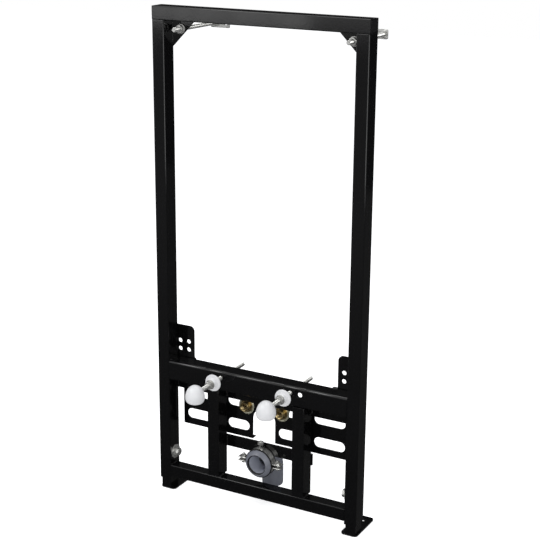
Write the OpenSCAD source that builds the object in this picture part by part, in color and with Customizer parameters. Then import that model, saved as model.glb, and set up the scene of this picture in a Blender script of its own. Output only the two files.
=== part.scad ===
// Bidet installation frame: a welded steel floor frame with two telescopic feet, a slotted plate for the
// taps, two fixing studs for the bowl, two wall anchors, two tap elbows and a clamped waste bend.
// Millimetres, +Z up, +Y towards the wall. The origin is on the floor, under the middle of the outline.

/* [Frame] */
// Width of the frame over both posts
frame_w = 520; // [510:1:530]
// Height of the frame from the post ends to the top of the top rail
frame_h = 1120; // [950:1:1200]
// Width of the post, rail and strut tubes, seen from the front
tube_w = 30; // [28:0.5:31]
// Depth of the post, strut and top rail tubes
tube_d = 40; // [38:0.5:42]
// Wall thickness of every tube of the frame
tube_wall = 2; // [1.5:0.1:2.5]
// Outer corner radius of the tubes
tube_r = 2; // [1:0.1:2.5]
// Height of the top rail
top_rail_h = 30; // [24:1:40]
// Length of the plugs in the ends of the top rail
rail_cap_l = 8; // [4:1:12]
// Height of the bottom rail
bottom_rail_h = 30; // [22:1:34]
// Depth of the bottom rail
bottom_rail_d = 30; // [24:1:36]
// Height of the bottom rail's underside above the post ends
bottom_rail_up = 7; // [5:0.5:10]
// Distance from the middle of the frame to the middle of each strut
strut_x = 111; // [109:0.5:113]

/* [Feet] */
// How far the feet stand out below the post ends
foot_out = 27; // [26:1:45]
// Wall thickness of the telescopic legs
leg_wall = 2; // [1.5:0.1:2.5]
// Gap between a leg and the inside of its post, on each side
leg_gap = 0.5; // [0.4:0.1:0.8]
// Length of a leg above its foot plate
leg_len = 280; // [260:1:320]
// Width of a foot plate
foot_w = 40; // [38:1:46]
// Length of a foot plate towards the wall
foot_l = 98; // [85:1:110]
// Thickness of a foot plate
foot_t = 4; // [3:0.5:6]
// Corner radius of a foot plate
foot_r = 8; // [5:0.5:12]
// How far a foot plate is set inwards from the middle of its post
foot_in = 4; // [2:0.5:5]
// Distance from the posts' front to a foot plate's front edge
foot_front = 2; // [1:0.5:2.5]
// Diameter of the floor screw hole in a foot plate
foot_hole_d = 11; // [9:0.5:13]
// Distance from a foot plate's back edge to its floor screw hole
foot_hole_back = 20.5; // [14:0.5:26]
// Height of a locking bolt above the post end
lock_up = 66; // [60:1:80]
// Distance from the posts' front to a locking bolt
lock_in = 21; // [19:0.5:22]
// Diameter of a locking bolt's shank
lock_d = 10; // [8:0.5:12]
// Diameter of a locking bolt's washer
lock_washer_d = 34; // [26:1:36]
// Thickness of a locking bolt's washer
lock_washer_t = 2.5; // [1.5:0.5:3]
// Thickness of a locking bolt's nut and head together
lock_head_h = 10.5; // [8:0.5:12]
// Width across the flats of a locking bolt's head
lock_head_af = 17; // [16:0.5:20]
// Gap between the tip of a locking bolt and the leg
lock_gap = 0.3; // [0.2:0.1:0.4]

/* [Mounting beam] */
// Height of the beam's top above the post ends
beam_up = 304; // [302:0.5:306]
// Sheet thickness of the beam
beam_t = 2.5; // [2:0.1:3]
// Height of the beam's front face
beam_face_h = 47.5; // [42:0.5:50]
// Outer radius of the beam's two bends
beam_r = 5; // [3.5:0.5:7]
// Distance from the beam's top down to the lower edge of its back bar
beam_back_h = 79; // [77:0.5:81]
// Distance from the middle to each end of the back bar
beam_back_x = 256; // [240:1:258]
// Distance between the two spare stud holes
spare_spacing = 230; // [225:1:235]
// Distance from the middle to the inner notches in the beam's bends
notch_in_x = 74.5; // [70:0.5:78]
// Distance from the middle to the outer notches in the beam's bends
notch_out_x = 130.5; // [128:0.5:136]
// Width of a notch in the beam's bends
notch_w = 2.4; // [2:0.1:3]
// Depth of a notch in the beam's bends
notch_d = 5; // [3.5:0.5:8]

/* [Ear plates] */
// Distance from the middle to an ear plate's inner edge
ear_in_x = 187; // [184:0.5:190]
// Distance from the middle to an ear plate's outer edge
ear_out_x = 256; // [244:1:258]
// Height of an ear plate above the beam's top
ear_up = 78; // [66:1:90]
// Height of an ear plate below the beam's top
ear_down = 55; // [50:0.5:57]
// Sheet thickness of the ear plates
ear_t = 3; // [2:0.1:4]
// Corner radius of an ear plate
ear_r = 12; // [8:1:14]
// Radius of the fillet at an ear plate's foot
ear_fillet = 4; // [2:0.5:6]
// Diameter of the holes in an ear plate
ear_hole_d = 11; // [9:0.5:12]
// Distance from the middle to the inner row of ear holes
ear_hole_x = 202; // [200:0.5:204]
// Distance between the two rows of ear holes
ear_hole_dx = 23; // [18:0.5:26]
// Height of the lower ear holes above the beam's top
ear_hole_up = 19; // [16:1:22]
// Height from the lower to the upper ear holes
ear_hole_dz = 20; // [17:0.5:24]

/* [Slotted plate] */
// Distance from the middle to each end of the slotted plate
plate_x = 218; // [214:1:224]
// Sheet thickness of the slotted plate
plate_t = 2.5; // [2:0.1:3]
// Height of the slotted plate's bottom above the post ends
plate_low = 134; // [133:0.5:138]
// Height of the slotted plate's top above the lower edge of the beam's back bar
plate_top = 20; // [15:1:23]
// Length of the bottom edge that is bent back
plate_fold = 15; // [10:1:20]
// Distance from the middle to the strips that join the plate to the beam
strip_from = 100; // [80:1:180]
// Height of the strips that join the plate to the beam
strip_h = 12; // [8:1:13]
// Height of a slot
slot_h = 24.5; // [23.5:0.5:26]
// Height of the lower slots' middle above the post ends
slot_low = 162.5; // [160:0.5:165]
// Distance from the lower edge of the beam's back bar down to the upper slots' middle
slot_high = 6; // [5:0.5:7]
// Distance from the middle to the inner slots' near end
inner_slot_from = 38.5; // [37:0.5:39]
// Distance from the middle to the inner slots' far end
inner_slot_to = 95.5; // [92:0.5:100]
// Distance from the middle to the outer slots' near end
outer_slot_from = 130; // [126:0.5:134]
// Distance from the middle to the outer slots' far end
outer_slot_to = 207.5; // [200:0.5:209]
// Width of the arch for the waste pipe
arch_w = 58.5; // [50:0.5:60]
// Height of the arch's spring line above the post ends
arch_up = 184; // [178:1:186]

/* [Bowl fixing] */
// Distance between the two bowl studs
stud_spacing = 180; // [176:1:186]
// Height of the bowl studs above the beam's lower edge
stud_up = 31.5; // [29:0.5:34]
// Diameter of the bowl studs
stud_d = 10; // [8:0.5:12]
// How far the bowl studs stand out in front of the beam
stud_front = 114; // [113:1:120]
// How far the bowl studs reach behind the posts' front
stud_back = 105; // [90:1:120]
// Outer diameter of the white disc on each stud
disc_d = 39; // [36:0.5:42]
// Thickness of the white disc on each stud
disc_t = 4; // [3:0.5:5]
// Gap between the beam and the white disc
disc_gap = 31; // [25:1:36]
// Diameter of the boss in front of a white disc
boss_d = 24; // [23:0.5:27]
// Length of the boss in front of a white disc
boss_l = 10; // [8:0.5:12]
// Width across the flats of the nuts on the studs and wall rods
nut_af = 17; // [16:0.5:18]
// Thickness of the nuts on the studs and wall rods
nut_h = 8; // [6:0.5:9]
// Outer diameter of the steel washers on the studs and wall rods
washer_d = 22; // [20:0.5:23]
// Thickness of the steel washers on the studs and wall rods
washer_t = 2; // [1.5:0.1:2.5]
// Widest diameter of the protective cap on each stud
cap_d = 44; // [40:0.5:46]
// Height of the protective cap on each stud
cap_h = 42; // [38:0.5:46]
// Diameter of a cap's flat underside
cap_flat_d = 24; // [18:1:28]
// How far a cap's widest level is below its middle
cap_wide_down = 7.5; // [5:0.5:9]
// Distance from the posts' front to a cap's middle
cap_out = 110; // [107:1:112]

/* [Wall anchors] */
// Width of a corner gusset along the top rail
gusset_w = 58.5; // [54:0.5:66]
// Height of a corner gusset along its post
gusset_h = 59.5; // [55:0.5:66]
// Thickness of the corner gussets
gusset_t = 3; // [2:0.1:4]
// Distance from a post's inner face to its wall rod
anchor_in = 21; // [19:0.5:22]
// Distance from the underside of the top rail to each wall rod
anchor_down = 20.5; // [19:0.5:22]
// Diameter of the wall rods
anchor_d = 10; // [8:0.5:12]
// Distance from the posts' front to a wall rod's front end
anchor_front = 8; // [4:1:20]
// Distance from the posts' front to the wall
wall_y = 183; // [150:1:220]
// Thickness of a wall bracket
bracket_t = 3; // [2:0.1:4]
// Height of a wall bracket
bracket_h = 21; // [18:0.5:26]
// Length of a wall bracket outwards from its rod
bracket_out = 11; // [9:0.5:14]
// Length of a wall bracket inwards from its rod
bracket_in = 39; // [34:1:48]
// Diameter of the wall screw hole in a wall bracket
bracket_hole_d = 9; // [7:0.5:10]
// Distance from a wall bracket's inner end to its screw hole
bracket_hole_in = 10; // [8:0.5:13]

/* [Tap elbows] */
// Distance between the two tap elbows
elbow_spacing = 92; // [92:0.5:98]
// Outer diameter of a tap elbow's hub
hub_d = 23; // [21:0.5:23.5]
// How far a tap elbow's hub stands out in front of its flange
hub_l = 12; // [9:0.5:14]
// Diameter of a tap elbow's flange
tap_flange_d = 40; // [36:0.5:42]
// Thickness of a tap elbow's flange
tap_flange_t = 2; // [1.5:0.1:2.5]
// Bore of a tap elbow's thread
tap_bore_d = 15.4; // [14:0.1:16]
// Outer diameter of a tap elbow's neck in its slot
neck_d = 9; // [8:0.1:9]
// Bore of a tap elbow's water way
water_d = 6; // [5:0.5:6.5]
// Outer diameter of a tap elbow's body behind the plate
elbow_d = 22; // [20:0.5:26]
// Outer diameter of a tap elbow's hose stub
stub_d = 16; // [13:0.5:18]
// Height of a tap elbow's hose stub above its middle
stub_up = 50; // [36:1:60]

/* [Waste] */
// Height of the waste socket's middle above the post ends
waste_up = 87; // [85:0.5:89]
// Distance from the posts' front to the waste socket's mouth
mouth_y = 8; // [6:0.5:10]
// Outer diameter of the waste socket's mouth
mouth_d = 50; // [50:0.5:53]
// Length of the cone between the waste socket's mouth and its rim
cone_l = 9; // [7:0.5:10]
// Outer diameter of the waste socket's rim
rim_d = 66; // [64:0.5:68]
// Length of the waste socket's rim
rim_l = 2; // [1.5:0.5:3]
// Outer diameter of the waste socket behind its rim
socket_d = 58; // [57:0.5:60]
// Outer diameter of the waste pipe
pipe_d = 50; // [48:0.5:50]
// Wall thickness of the waste pipe
pipe_wall = 2; // [2:0.1:3]
// Outer diameter of the waste seal in its groove
seal_d = 49.8; // [48.8:0.1:49.8]
// Bore of the waste seal
seal_bore_d = 44; // [40:0.5:45]
// Length of the waste seal
seal_l = 5; // [4:0.5:6]
// Distance from the waste socket's mouth to its seal
seal_in = 2; // [2:0.5:3]
// Distance from the posts' front to the down pipe's middle
down_y = 89; // [86:1:95]
// Radius of the waste bend's middle line
bend_r = 34; // [30:1:38]
// Height of the down pipe's open end above the post ends
down_low = 10; // [4:1:20]
// Thickness of the pipe clamp's band
band_t = 1.5; // [1.2:0.1:2]
// Thickness of the rubber lining inside the clamp
lining_t = 3; // [2:0.1:3]
// How far the rubber lining stands out on each side of the band
lining_edge = 1.5; // [1:0.1:2.5]
// Length of the clamp's ears beside the band
lug_l = 22; // [20:1:24]
// Gap between the ears of the two clamp halves
lug_gap = 6; // [4:0.5:8]
// Thickness of the clamp's ears
lug_t = 2.5; // [2:0.1:3]
// Diameter of the clamp screws
clamp_screw_d = 6; // [5:0.5:6]
// Width across the flats of the clamp's screw heads and nuts
clamp_head_af = 10; // [8:0.5:11]
// Thickness of the clamp's screw heads and nuts
clamp_head_h = 4.5; // [3:0.5:6]
// Diameter of the clamp's hanger stud
hanger_d = 8; // [6:0.5:8]
// Width across the flats of the hanger's nut and boss
hanger_af = 13; // [11:0.5:14]
// Thickness of the hanger's nut
hanger_nut_h = 6.5; // [5:0.5:8]
// Height of the hanger's boss on the clamp
hanger_boss_h = 5; // [3:0.5:6]
// How far the hanger stud stands out above its nut
hanger_out = 2; // [1:0.5:4]
// Width of the lug on the crossbar that holds the hanger
hanger_lug_w = 20; // [16:1:26]
// Thickness of the lug on the crossbar
hanger_lug_t = 3; // [2:0.1:4]
// Distance from the hanger stud's middle to the lug's front end
hanger_lug_front = 9; // [7:0.5:10]
// Height of the crossbar's underside above the waste socket's middle
crossbar_up = 16; // [15:0.5:17]
// Height of the crossbar
crossbar_h = 28.5; // [28:0.5:30]
// Thickness of the crossbar
crossbar_t = 4.5; // [4:0.1:4.5]
// Distance from the middle to each end of the crossbar
crossbar_x = 128; // [122:1:140]
// Width of the notch in the crossbar for the waste pipe
crossbar_notch_w = 57; // [54:0.5:57]
// Distance from the middle to the small hole in the crossbar
crossbar_hole_x = 56; // [40:1:70]
// Height of the crossbar's small hole above its underside
crossbar_hole_up = 8; // [6:0.5:20]
// Diameter of the small hole in the crossbar
crossbar_hole_d = 7; // [5:0.5:8]

/* [Hidden] */
$fn = 96;

// Overrun of every cut past the faces that it opens
eps = 1;
// Radial clearance of round pieces that fit into each other
fit = 0.1;
// Height of the post ends over the floor
base_z = foot_out;
// Front face of the posts, which puts the origin under the middle of the outline
front_y = (cap_out + cap_d / 2 - wall_y) / 2;
back_y = front_y + tube_d;
post_x = (frame_w - tube_w) / 2;
post_mid_y = front_y + tube_d / 2;
post_h = frame_h - top_rail_h;
inside_x = frame_w / 2 - tube_w;
rail_z = base_z + bottom_rail_up;
rail_top_z = rail_z + bottom_rail_h;
top_rail_z = base_z + post_h;
beam_z = base_z + beam_up;
// Undersides of the beam's channel and of its back bar
channel_z = beam_z - beam_face_h;
beam_low_z = beam_z - beam_back_h;
beam_back_y = back_y + beam_t;
// Gap on each side of a rib in its notches, distance from a rib to the channel's open side, and
// how far a rib's corners lie below the outside of the bends
rib_gap = 0.2;
rib_back = 2;
rib_sink = 0.6;
plate_y = beam_back_y + tap_flange_t;
strut_h = channel_z - rail_top_z;
stud_z = channel_z + stud_up;
// Play of the studs and wall rods in their holes
hole_play = 1;
stud_hole_d = stud_d + hole_play;
rod_hole_d = anchor_d + hole_play;
anchor_x = inside_x - anchor_in;
anchor_z = top_rail_z - anchor_down;
gusset_y = back_y - gusset_t;
leg_w = tube_w - 2 * (tube_wall + leg_gap);
leg_d = tube_d - 2 * (tube_wall + leg_gap);
foot_x = post_x - foot_in;
foot_y = front_y + foot_front;
lock_y = front_y + lock_in;
lock_z = base_z + lock_up;
cap_y = front_y - cap_out;
disc_y = front_y - disc_gap - disc_t;
boss_y = disc_y - boss_l;
waste_z = base_z + waste_up;
// The hub clears the lower edge of the beam's back bar
hub_gap = 0.25;
elbow_z = beam_low_z - hub_d / 2 - hub_gap;
elbow_y = plate_y + plate_t + elbow_d / 2;
// Depth of the tap elbow's hub behind its thread
thread_stop = 1;
// The waste socket and the clamp's lining end just in front of the crossbar
socket_gap = 0.5;
socket_end_y = back_y - socket_gap;
lining_y = front_y + mouth_y + cone_l + rim_l + socket_gap;
lining_w = socket_end_y - lining_y;
lining_in_r = socket_d / 2 + fit;
lining_out_r = lining_in_r + lining_t;
band_in_r = lining_out_r + fit;
band_out_r = band_in_r + band_t;
band_w = lining_w - 2 * lining_edge;
band_front_y = lining_y + lining_edge;
clamp_screw_x = band_out_r + lug_l / 2;
hanger_y = band_front_y + band_w / 2;
hanger_boss_z = waste_z + band_out_r + hanger_boss_h;
// Play of the hanger stud in the lug's slot
hanger_play = 0.4;
crossbar_z = waste_z + crossbar_up;
crossbar_top_z = crossbar_z + crossbar_h;

// A rectangle with rounded corners, its middle on the origin
module rounded_rect(w, d, r) {
    square([w - 2 * r, d], center = true);
    square([w, d - 2 * r], center = true);
    for (sx = [-1, 1], sy = [-1, 1])
        translate([sx * (w / 2 - r), sy * (d / 2 - r)])
            circle(r = r);
}

// The section of a rectangular tube
module tube_section(w, d, wall) {
    difference() {
        rounded_rect(w, d, tube_r);
        square([w - 2 * wall, d - 2 * wall], center = true);
    }
}

// A cylinder along +Y from its front end
module rod(d, l) {
    rotate([-90, 0, 0])
        cylinder(d = d, h = l);
}

// A hexagon along +Y, measured across its flats
module hex(af, l) {
    rotate([-90, 0, 0])
        cylinder(d = af / cos(30), h = l, $fn = 6);
}

// A round washer along +Y on a rod of the given diameter
module washer(d, rod_d, l) {
    difference() {
        rod(d, l);
        translate([0, -eps, 0])
            rod(rod_d + 2 * fit, l + 2 * eps);
    }
}

// A hexagonal nut along +Y on a rod of the given diameter
module nut(af, rod_d, l) {
    difference() {
        hex(af, l);
        translate([0, -eps, 0])
            rod(rod_d + 2 * fit, l + 2 * eps);
    }
}

// A slot with round ends through a sheet, from one X to another
module slot_cut(x1, x2, z, h, y, t) {
    translate([x1 + h / 2, y - eps, z])
        rod(h, t + 2 * eps);
    translate([x2 - h / 2, y - eps, z])
        rod(h, t + 2 * eps);
    translate([x1 + h / 2, y - eps, z - h / 2])
        cube([x2 - x1 - h, t + 2 * eps, h]);
}

module right_post() {
    color("#161617")
        difference() {
            translate([post_x, post_mid_y, base_z])
                linear_extrude(post_h)
                    tube_section(tube_w, tube_d, tube_wall);
            translate([inside_x - eps, lock_y, lock_z])
                rotate([0, 90, 0])
                    cylinder(d = lock_d + 2 * fit, h = tube_wall + 2 * eps);
        }
}

module left_post() {
    mirror([1, 0, 0])
        right_post();
}

module top_rail() {
    color("#161617")
        translate([-frame_w / 2, post_mid_y, top_rail_z + top_rail_h / 2])
            rotate([90, 0, 90])
                linear_extrude(frame_w)
                    tube_section(tube_d, top_rail_h, tube_wall);
}

// Plugs in both ends of the top rail
module rail_caps() {
    color("#1b1b1c")
        for (side = [-1, 1])
            translate([side * (frame_w - rail_cap_l) / 2, post_mid_y, top_rail_z + top_rail_h / 2])
                cube([rail_cap_l, tube_d - 2 * tube_wall, top_rail_h - 2 * tube_wall], center = true);
}

module bottom_rail() {
    color("#161617")
        translate([-inside_x, front_y + bottom_rail_d / 2, rail_z + bottom_rail_h / 2])
            rotate([90, 0, 90])
                linear_extrude(2 * inside_x)
                    tube_section(bottom_rail_d, bottom_rail_h, tube_wall);
}

module right_strut() {
    color("#161617")
        translate([strut_x, post_mid_y, rail_top_z])
            linear_extrude(strut_h)
                tube_section(tube_w, tube_d, tube_wall);
}

module left_strut() {
    mirror([1, 0, 0])
        right_strut();
}

// A rectangle from the origin, its two corners at x = 0 rounded
module front_rounded(d, h, r) {
    translate([r, 0])
        square([d - r, h]);
    translate([0, r])
        square([d, h - 2 * r]);
    for (y = [r, h - r])
        translate([r, y])
            circle(r = r);
}

// The section of the beam's channel, open to the back
module channel_section() {
    difference() {
        front_rounded(tube_d, beam_face_h, beam_r);
        translate([beam_t, beam_t])
            front_rounded(tube_d - beam_t + eps, beam_face_h - 2 * beam_t, beam_r - beam_t);
    }
}

// An outline in depth and height, pulled along the beam from the given X
module along_beam(x, l) {
    translate([x, front_y, channel_z])
        rotate([90, 0, 90])
            linear_extrude(l)
                children();
}

// Bent channel between the posts, and a flat bar along its lower back edge
module mounting_beam() {
    color("#161617")
        difference() {
            union() {
                along_beam(-inside_x, 2 * inside_x)
                    channel_section();
                translate([-beam_back_x, back_y, beam_low_z])
                    cube([2 * beam_back_x, beam_t, channel_z + beam_t - beam_low_z]);
            }
            for (side = [-1, 1], x = [notch_in_x, notch_out_x], z = [beam_z - notch_d, channel_z - eps])
                translate([side * x - notch_w / 2, front_y - eps, z])
                    cube([notch_w, notch_d + eps, notch_d + eps]);
            for (side = [-1, 1], x = [stud_spacing / 2, spare_spacing / 2])
                translate([side * x, front_y - eps, stud_z])
                    rod(stud_hole_d, beam_t + 2 * eps);
        }
}

// Four plates inside the channel, whose front corners fill the notches in its bends
module beam_ribs() {
    rib_t = notch_w - 2 * rib_gap;
    color("#161617")
        for (side = [-1, 1], x = [notch_in_x, notch_out_x])
            along_beam(side * x - rib_t / 2, rib_t) {
                translate([beam_t, beam_t])
                    front_rounded(tube_d - beam_t - rib_back, beam_face_h - 2 * beam_t, beam_r - beam_t);
                intersection() {
                    translate([rib_sink, rib_sink])
                        front_rounded(tube_d, beam_face_h - 2 * rib_sink, beam_r - rib_sink);
                    union() {
                        square([notch_d, notch_d]);
                        translate([0, beam_face_h - notch_d])
                            square([notch_d, notch_d]);
                    }
                }
            }
}

module right_ear_plate() {
    color("#161617")
        difference() {
            union() {
                translate([ear_in_x, beam_back_y, beam_z])
                    cube([ear_out_x - ear_in_x, ear_t, ear_up]);
                translate([ear_in_x - ear_fillet, beam_back_y, beam_z - ear_down])
                    cube([ear_out_x - ear_in_x + ear_fillet, ear_t, ear_down + ear_fillet]);
            }
            translate([ear_in_x - ear_fillet, beam_back_y - eps, beam_z + ear_fillet])
                rod(2 * ear_fillet, ear_t + 2 * eps);
            difference() {
                translate([ear_in_x - eps, beam_back_y - eps, beam_z + ear_up - ear_r])
                    cube([ear_r + eps, ear_t + 2 * eps, ear_r + eps]);
                translate([ear_in_x + ear_r, beam_back_y - 2 * eps, beam_z + ear_up - ear_r])
                    rod(2 * ear_r, ear_t + 4 * eps);
            }
            for (x = [0, ear_hole_dx], z = [0, ear_hole_dz])
                translate([ear_hole_x + x, beam_back_y - eps, beam_z + ear_hole_up + z])
                    rod(ear_hole_d, ear_t + 2 * eps);
        }
}

module left_ear_plate() {
    mirror([1, 0, 0])
        right_ear_plate();
}

// Sheet with eight slots, an arch for the waste pipe and a bottom edge bent back
module slotted_plate() {
    low_z = base_z + plate_low;
    top_z = beam_low_z + plate_top;
    color("#161617")
        difference() {
            union() {
                translate([-plate_x, plate_y, low_z])
                    cube([2 * plate_x, plate_t, top_z - low_z]);
                translate([-plate_x, plate_y, low_z])
                    cube([2 * plate_x, plate_fold, plate_t]);
                for (x = [strip_from, -plate_x])
                    translate([x, beam_back_y, top_z - strip_h])
                        cube([plate_x - strip_from, tap_flange_t, strip_h]);
            }
            for (z = [base_z + slot_low, beam_low_z - slot_high]) {
                slot_cut(inner_slot_from, inner_slot_to, z, slot_h, plate_y, plate_t);
                slot_cut(outer_slot_from, outer_slot_to, z, slot_h, plate_y, plate_t);
                slot_cut(-inner_slot_to, -inner_slot_from, z, slot_h, plate_y, plate_t);
                slot_cut(-outer_slot_to, -outer_slot_from, z, slot_h, plate_y, plate_t);
            }
            translate([-arch_w / 2, plate_y - eps, base_z + plate_low - eps])
                cube([arch_w, plate_fold + 2 * eps, arch_up - plate_low + eps]);
            translate([0, plate_y - eps, base_z + arch_up])
                rod(arch_w, plate_t + 2 * eps);
        }
}

// Flat bar behind the struts, with a slotted lug in front that carries the pipe clamp
module waste_crossbar() {
    lug_front_y = hanger_y - hanger_lug_front;
    lug_z = crossbar_top_z - hanger_lug_t;
    slot_w = hanger_d + hanger_play;
    color("#161617")
        difference() {
            union() {
                translate([-crossbar_x, back_y, crossbar_z])
                    cube([2 * crossbar_x, crossbar_t, crossbar_h]);
                translate([-hanger_lug_w / 2, lug_front_y, lug_z])
                    cube([hanger_lug_w, back_y - lug_front_y, hanger_lug_t]);
            }
            translate([0, back_y - eps, waste_z])
                rod(crossbar_notch_w, crossbar_t + 2 * eps);
            translate([0, hanger_y, lug_z - eps])
                cylinder(d = slot_w, h = hanger_lug_t + 2 * eps);
            translate([-slot_w / 2, lug_front_y - eps, lug_z - eps])
                cube([slot_w, hanger_lug_front + eps, hanger_lug_t + 2 * eps]);
            translate([crossbar_hole_x, back_y - eps, crossbar_z + crossbar_hole_up])
                rod(crossbar_hole_d, crossbar_t + 2 * eps);
        }
}

module right_gusset() {
    color("#161617")
        difference() {
            translate([inside_x, back_y, top_rail_z])
                rotate([90, 0, 0])
                    linear_extrude(gusset_t)
                        polygon([[0, 0], [-gusset_w, 0], [0, -gusset_h]]);
            translate([anchor_x, gusset_y - eps, anchor_z])
                rod(rod_hole_d, gusset_t + 2 * eps);
        }
}

module left_gusset() {
    mirror([1, 0, 0])
        right_gusset();
}

module right_leg() {
    color("#2a2a2c")
        translate([post_x, post_mid_y, foot_t])
            linear_extrude(leg_len)
                tube_section(leg_w, leg_d, leg_wall);
}

module left_leg() {
    mirror([1, 0, 0])
        right_leg();
}

module right_foot_plate() {
    color("#161617")
        translate([foot_x, foot_y + foot_l / 2, 0])
            linear_extrude(foot_t)
                difference() {
                    rounded_rect(foot_w, foot_l, foot_r);
                    translate([0, foot_l / 2 - foot_hole_back])
                        circle(d = foot_hole_d);
                }
}

module left_foot_plate() {
    mirror([1, 0, 0])
        right_foot_plate();
}

// Bolt with a washer and nut through the post's inner side, its tip just off the leg
module right_lock_bolt() {
    tip_x = inside_x + tube_wall + leg_gap - lock_gap;
    head_x = inside_x - lock_washer_t - lock_head_h;
    color("#9a9c9e")
        translate([head_x, lock_y, lock_z])
            rotate([0, 90, 0]) {
                cylinder(d = lock_d, h = tip_x - head_x);
                cylinder(d = lock_head_af / cos(30), h = lock_head_h, $fn = 6);
                translate([0, 0, lock_head_h])
                    cylinder(d = lock_washer_d, h = lock_washer_t);
            }
}

module left_lock_bolt() {
    mirror([1, 0, 0])
        right_lock_bolt();
}

module right_wall_rod() {
    color("#9a9c9e")
        translate([anchor_x, front_y + anchor_front, anchor_z])
            rod(anchor_d, wall_y - bracket_t - anchor_front);
}

module left_wall_rod() {
    mirror([1, 0, 0])
        right_wall_rod();
}

// Nut and washer on each side of the gusset
module right_rod_nuts() {
    color("#9a9c9e")
        translate([anchor_x, 0, anchor_z]) {
            translate([0, gusset_y - washer_t, 0])
                washer(washer_d, anchor_d, washer_t);
            translate([0, gusset_y - washer_t - nut_h, 0])
                nut(nut_af, anchor_d, nut_h);
            translate([0, back_y, 0])
                washer(washer_d, anchor_d, washer_t);
            translate([0, back_y + washer_t, 0])
                nut(nut_af, anchor_d, nut_h);
        }
}

module left_rod_nuts() {
    mirror([1, 0, 0])
        right_rod_nuts();
}

module right_wall_bracket() {
    color("#b4b6b8")
        difference() {
            translate([anchor_x - bracket_in, front_y + wall_y - bracket_t, anchor_z - bracket_h / 2])
                cube([bracket_in + bracket_out, bracket_t, bracket_h]);
            translate([anchor_x - bracket_in + bracket_hole_in, front_y + wall_y - bracket_t - eps, anchor_z])
                rod(bracket_hole_d, bracket_t + 2 * eps);
        }
}

module left_wall_bracket() {
    mirror([1, 0, 0])
        right_wall_bracket();
}

module right_stud() {
    color("#9a9c9e")
        translate([stud_spacing / 2, front_y - stud_front, stud_z])
            rod(stud_d, stud_front + stud_back);
}

module left_stud() {
    mirror([1, 0, 0])
        right_stud();
}

// White disc with a boss in front
module right_stud_disc() {
    color("#e9e9ec")
        translate([stud_spacing / 2, 0, stud_z])
            difference() {
                union() {
                    translate([0, disc_y, 0])
                        rod(disc_d, disc_t);
                    translate([0, boss_y, 0])
                        rod(boss_d, boss_l);
                }
                translate([0, boss_y - eps, 0])
                    rod(stud_d + 2 * fit, boss_l + disc_t + 2 * eps);
            }
}

module left_stud_disc() {
    mirror([1, 0, 0])
        right_stud_disc();
}

// Nut and washer against the white disc's boss, and a nut inside the beam
module right_stud_nuts() {
    color("#9a9c9e")
        translate([stud_spacing / 2, 0, stud_z]) {
            translate([0, boss_y - washer_t, 0])
                washer(washer_d, stud_d, washer_t);
            translate([0, boss_y - washer_t - nut_h, 0])
                nut(nut_af, stud_d, nut_h);
            translate([0, front_y + beam_t, 0])
                nut(nut_af, stud_d, nut_h);
        }
}

module left_stud_nuts() {
    mirror([1, 0, 0])
        right_stud_nuts();
}

// Half of the cap's outline, turned about its vertical axis
module cap_outline() {
    crown_h = cap_h / 2 + cap_wide_down;
    base_h = cap_h - crown_h;
    polygon(concat(
        [[0, -base_h]],
        [for (a = [90 : -7.5 : 7.5]) [cap_flat_d / 2 + (cap_d - cap_flat_d) / 2 * cos(a), -base_h * sin(a)]],
        [for (a = [0 : 5 : 85]) [cap_d / 2 * cos(a), crown_h * sin(a)]],
        [[0, crown_h]]
    ));
}

module right_stud_cap() {
    color("#e9e9ec")
        difference() {
            translate([stud_spacing / 2, cap_y, stud_z - cap_wide_down])
                rotate_extrude()
                    cap_outline();
            translate([stud_spacing / 2, front_y - stud_front, stud_z])
                rod(stud_d + 2 * fit, stud_front);
        }
}

module left_stud_cap() {
    mirror([1, 0, 0])
        right_stud_cap();
}

// Threaded hub in front of the flange, neck through the slot, body and hose stub behind the plate
module right_tap_elbow() {
    thread_l = hub_l - thread_stop;
    color("#a8895a")
        translate([elbow_spacing / 2, 0, elbow_z])
            difference() {
                union() {
                    translate([0, beam_back_y - hub_l, 0])
                        rod(hub_d, hub_l);
                    translate([0, beam_back_y - eps, 0])
                        rod(neck_d, tap_flange_t + plate_t + 2 * eps);
                    translate([0, plate_y + plate_t, 0])
                        rod(elbow_d, elbow_d);
                    translate([0, elbow_y, 0])
                        cylinder(d = stub_d, h = stub_up);
                }
                translate([0, beam_back_y - hub_l - eps, 0])
                    rod(tap_bore_d, thread_l + eps);
                translate([0, beam_back_y - 2 * eps, 0])
                    rod(water_d, elbow_y - beam_back_y + 2 * eps);
                translate([0, elbow_y, 0])
                    cylinder(d = water_d, h = stub_up + eps);
            }
}

module left_tap_elbow() {
    mirror([1, 0, 0])
        right_tap_elbow();
}

// Round flanges that press the tap elbows on the slotted plate
module tap_flanges() {
    color("#8f9194")
        for (side = [-1, 1])
            translate([side * elbow_spacing / 2, beam_back_y, elbow_z])
                washer(tap_flange_d, neck_d, tap_flange_t);
}

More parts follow.
